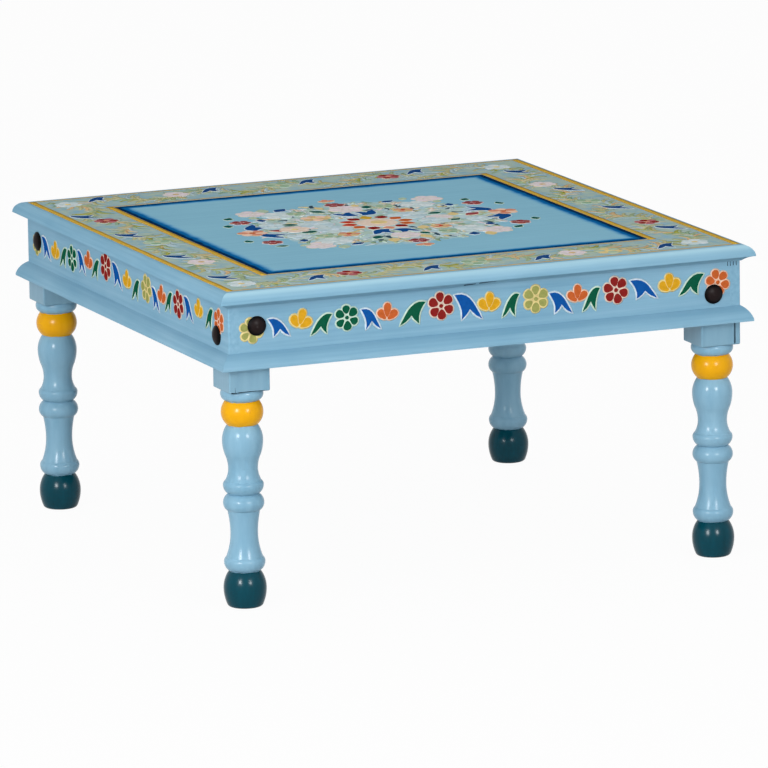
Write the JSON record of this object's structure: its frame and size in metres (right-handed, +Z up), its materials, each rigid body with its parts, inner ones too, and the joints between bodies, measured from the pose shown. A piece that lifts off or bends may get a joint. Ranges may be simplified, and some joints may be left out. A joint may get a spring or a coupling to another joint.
{
  "type": "low table",
  "caption": "Low square table with a moulded top, apron box, planted lower moulding and turned legs bolted into the corners.",
  "frame": {"origin": "on the floor under the middle of the top", "axes": "+Z up; -Y towards the front, where the picture looks from a little to the left; +X to the right seen from the front"},
  "size_m": [0.6, 0.6, 0.333],
  "materials": {
    "top_paint": "brushed satin paint",
    "apron_paint": "brushed satin paint",
    "moulding_paint": "brushed satin paint",
    "leg_paint": "brushed gloss paint, with a yellow ring and a teal foot",
    "bare_wood": "planed, unpainted",
    "black_iron": "black, half gloss",
    "bright_steel": "zinc plated"
  },
  "bodies": {
    "root": {"top_rail_front": "top_paint", "top_rail_right": "top_paint", "top_rail_back": "top_paint", "top_rail_left": "top_paint", "top_panel": "top_paint", "apron_front": "apron_paint", "apron_right": "apron_paint", "apron_back": "apron_paint", "apron_left": "apron_paint", "moulding_front": "moulding_paint", "moulding_right": "moulding_paint", "moulding_back": "moulding_paint", "moulding_left": "moulding_paint", "leg_front_left": "leg_paint", "leg_front_right": "leg_paint", "leg_back_right": "leg_paint", "leg_back_left": "leg_paint", "block_strip_front_left": "leg_paint", "block_strip_front_right": "leg_paint", "block_strip_back_right": "leg_paint", "block_strip_back_left": "leg_paint", "batten_left": "bare_wood", "batten_right": "bare_wood", "glue_blocks": "bare_wood", "apron_dowels": "bare_wood", "mitre_splines": "bare_wood", "coach_bolts": "black_iron", "washers": "black_iron", "nuts": "black_iron", "batten_screws": "bright_steel"}
  },
  "joints": []
}
